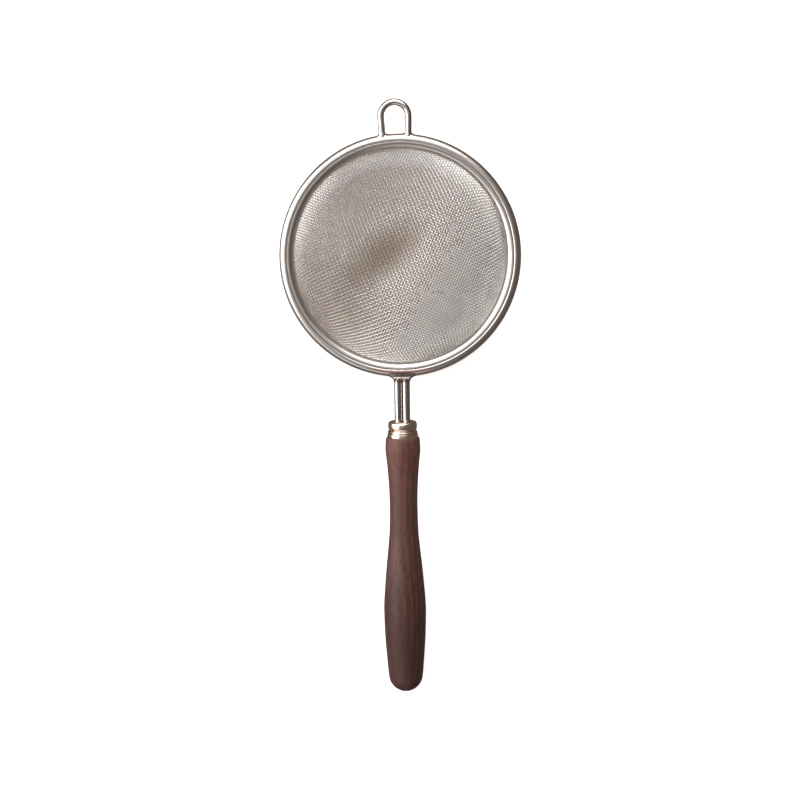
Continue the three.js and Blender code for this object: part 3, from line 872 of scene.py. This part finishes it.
def walnut():
    """Oiled walnut: growth rings cut by the turning, streaks along the grain, and small open pores."""
    finish = Finish("Walnut", Specular_IOR_Level=0.28)
    warp = finish.noise(finish.stretched((1, 0.12, 1)), GRAIN_WARP, 2.0)
    tree = finish.node("ShaderNodeMapping", None, {"Vector": finish.place, "Location": PITH})
    across = finish.node("ShaderNodeVectorMath", {"operation": "MULTIPLY"}, {0: tree, 1: (1, 0.04, 1)})
    out = finish.node("ShaderNodeVectorMath", {"operation": "LENGTH"}, {0: across}, output="Value")
    ring = ((out / GROWTH_RING + 1.1 * warp) * (2 * math.pi)).sine() * 0.5 + 0.5
    streaks = finish.noise(finish.stretched((1, 0.07, 1)), GRAIN_STREAKS, 4.0, 0.65)
    clouds = finish.noise(finish.stretched((1, 0.35, 1)), GRAIN_CLOUDS)
    pores = finish.noise(finish.stretched((1, 0.07, 1)), PORES, 2.0, 0.5)
    pore = ((pores - PORE_SHARE) * PORE_EDGE).clamped()
    # Painted shade: the wood is darkened towards the butt.
    back = finish.node("ShaderNodeSeparateXYZ", None, {0: finish.place}, output="Y")
    painted_butt_shade = ((ferrule_end - back) / BUTT_SHADE_RUN).clamped()
    tone = finish.node("ShaderNodeValToRGB", {"stops": [
        (0.18, WOOD_DARK), (0.5, WOOD_MIDDLE), (0.86, WOOD_LIGHT)]},
        {0: 0.17 * ring + 0.52 * streaks + 0.42 * clouds - 0.40 * painted_butt_shade + 0.02})
    finish.set(
        Base_Color=finish.mix(pore * 0.8, tone, PORE_TONE),
        Roughness=0.42 + 0.12 * streaks + 0.15 * pore,
        Normal=finish.bump(0.25 * streaks - pore, PORE_DEPTH, 0.6),
    )
    return finish.material


outline = smoothed(outline_of_handle(), HANDLE_STEPS)
near_front = np.clip(1 - (outline[0, 1] - outline[:, 1]) / FRONT_RUN, 0, 1)
outline[:, 1] += FRONT_LAP * near_front
bore = own_places("tang_resin")
bore_radius = bore[:, 0].max() + BORE_SLACK
bore_end = bore[:, 1].min() - BORE_SLACK
tenon_radius = socket_radius - TENON_SLACK
tenon_start = socket_floor - 2 * TENON_SLACK
shoulder = BAND_RADIUS + SHOULDER_RISE
profile = [(0, bore_end), (bore_radius, bore_end), (bore_radius, tenon_start), (tenon_radius, tenon_start),
           (tenon_radius, ferrule_end), (shoulder, ferrule_end), (shoulder, outline[0, 1] - TENON_SLACK),
           *outline]
handle = make_piece("handle_turning", skin(turned(profile, HANDLE_SIDES, axis="Y"), round_sides=False),
                    walnut(), sharp=HANDLE_CREASE)
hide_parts("handle")
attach(handle, "root")

# ---- Resin in the handle ----
# Adhesive poured into the bore, which beds the ends of the rods. It can't be seen, and keeps its CAD shape.

RESIN_TONE = (0.46, 0.33, 0.15)
RESIN_DEEP_TONE = (0.36, 0.24, 0.10)
RESIN_HAZE = 700.0                 # fineness
RESIN_DIMPLES = 0.02 * mm


def set_resin():
    """Amber resin, hazy and a little uneven."""
    finish = Finish("Set resin", IOR=1.5)
    haze = finish.noise(finish.place, RESIN_HAZE)
    finish.set(
        Base_Color=finish.mix(haze, RESIN_TONE, RESIN_DEEP_TONE),
        Roughness=0.22 + 0.2 * haze,
        Normal=finish.bump(haze, RESIN_DIMPLES),
    )
    return finish.material


frame["nodes"]["tang_resin"].data.materials.clear()
frame["nodes"]["tang_resin"].data.materials.append(set_resin())

# ---- Floor, light and camera ----
# A pale table with a pale backdrop round it, two big soft panels on the left and behind, three weak ones
# that fill in, and a dim warm room for the steel to mirror.

STAGE_RADIUS = 3
STAGE_SIDES = 64
BACKDROP_HEIGHT = 6
BACKDROP_TONE = (0.98, 0.975, 0.97)
BACKDROP_CLOUDS = 2.0              # fineness
FLOOR_CLOUDS = 6.0
FLOOR_TONE = (0.50, 0.495, 0.49)
FLOOR_GLOW = 0.8                   # the table is lit from inside, so that shadows stay faint
PAINTED_SHADOW_EDGE = (38 * mm, 47 * mm)    # the glow stops under the bowl, where a deeper tone is painted on as its shadow
PAINTED_SHADOW_TONE = (0.32, 0.305, 0.29)
ROOM_TONE = (0.30, 0.235, 0.205)
ROOM_LEVEL = 0.47
PANEL_AWAY = 1.1                   # metres from the tool
PANELS = {                         # bearing and height in degrees, width and height in metres, watts
    "Left panel": (172, 33, 1.3, 1.3, 17.5),
    "Back panel": (94, 45, 1.25, 1.1, 12.0),
    "Overhead panel": (120, 84, 0.9, 0.8, 0.85),
    "Low left panel": (222, 30, 0.9, 0.9, 1.6),
    "Low right panel": (262, 24, 0.9, 0.8, 1.2),
}
CAMERA_PLACE = (-0.84 * mm, 1.51 * mm, 501.5 * mm)
CAMERA_LENS = 57.17
CAMERA_ROLL = math.radians(-0.798)

floor_mesh = bpy.data.meshes.new("floor")
turns = np.arange(STAGE_SIDES) / STAGE_SIDES * 2 * math.pi
edge = [(STAGE_RADIUS * math.cos(turn), STAGE_RADIUS * math.sin(turn)) for turn in turns]
floor_mesh.from_pydata([(x, y, 0) for x, y in edge], [], [list(range(STAGE_SIDES))])
floor = bpy.data.objects.new("floor", floor_mesh)
bpy.context.scene.collection.objects.link(floor)
table = Finish("Pale table", Roughness=0.9, Emission_Strength=FLOOR_GLOW)
bowl_low, bowl_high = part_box("mesh_bowl")
under_bowl = table.node("ShaderNodeVectorMath", {"operation": "DISTANCE"}, {
    0: table.node("ShaderNodeTexCoord", output="Object"),
    1: ((bowl_low.x + bowl_high.x) / 2, (bowl_low.y + bowl_high.y) / 2, 0)}, output="Value")
glow = ((under_bowl - PAINTED_SHADOW_EDGE[0]) / (PAINTED_SHADOW_EDGE[1] - PAINTED_SHADOW_EDGE[0])).clamped()
tone = table.mix(table.noise(table.place, FLOOR_CLOUDS), FLOOR_TONE, dimmed(FLOOR_TONE, 0.985))
# Painted shadow: under the bowl the table has a deeper tone and does not glow.
table.set(Base_Color=table.mix(glow, PAINTED_SHADOW_TONE, tone),
          Emission_Color=table.mix(glow, (0, 0, 0), (1, 1, 1)))
floor_mesh.materials.append(table.material)
floor.visible_glossy = False

wall_mesh = bpy.data.meshes.new("backdrop")
wall_faces = []
for k in range(STAGE_SIDES):
    beside = (k + 1) % STAGE_SIDES
    wall_faces.append((k, beside, STAGE_SIDES + beside, STAGE_SIDES + k))
wall_mesh.from_pydata([(x, y, z) for z in (0, BACKDROP_HEIGHT) for x, y in edge], [], wall_faces)
wall = bpy.data.objects.new("backdrop", wall_mesh)
bpy.context.scene.collection.objects.link(wall)
paper = Finish("Pale paper", Roughness=1.0, Emission_Strength=FLOOR_GLOW)
clouds = paper.noise(paper.place, BACKDROP_CLOUDS)
paper.set(Base_Color=FLOOR_TONE, Emission_Color=paper.mix(clouds, (1, 1, 1), BACKDROP_TONE))
wall_mesh.materials.append(paper.material)
wall.visible_diffuse = wall.visible_glossy = wall.visible_transmission = wall.visible_shadow = False

world = bpy.data.worlds.new("Room")
world.use_nodes = True
world.node_tree.nodes["Background"].inputs["Color"].default_value = (*ROOM_TONE, 1)
world.node_tree.nodes["Background"].inputs["Strength"].default_value = ROOM_LEVEL
bpy.context.scene.world = world

for name, (bearing, height, wide, tall, power) in PANELS.items():
    panel = bpy.data.lights.new(name, "AREA")
    panel.shape = "ELLIPSE"
    panel.size = wide
    panel.size_y = tall
    panel.energy = power
    light = bpy.data.objects.new(name, panel)
    bearing, height = math.radians(bearing), math.radians(height)
    level = math.cos(height)
    way = Vector((math.cos(bearing) * level, math.sin(bearing) * level, math.sin(height)))
    light.location = way * PANEL_AWAY
    light.rotation_euler = way.to_track_quat("Z", "Y").to_euler()
    light.visible_camera = False
    bpy.context.scene.collection.objects.link(light)

lens = bpy.data.cameras.new("Camera")
lens.lens = CAMERA_LENS
camera = bpy.data.objects.new("Camera", lens)
camera.location = CAMERA_PLACE
camera.rotation_euler = (0, 0, CAMERA_ROLL)
bpy.context.scene.collection.objects.link(camera)
bpy.context.scene.camera = camera
bpy.context.scene.view_settings.view_transform = "Standard"
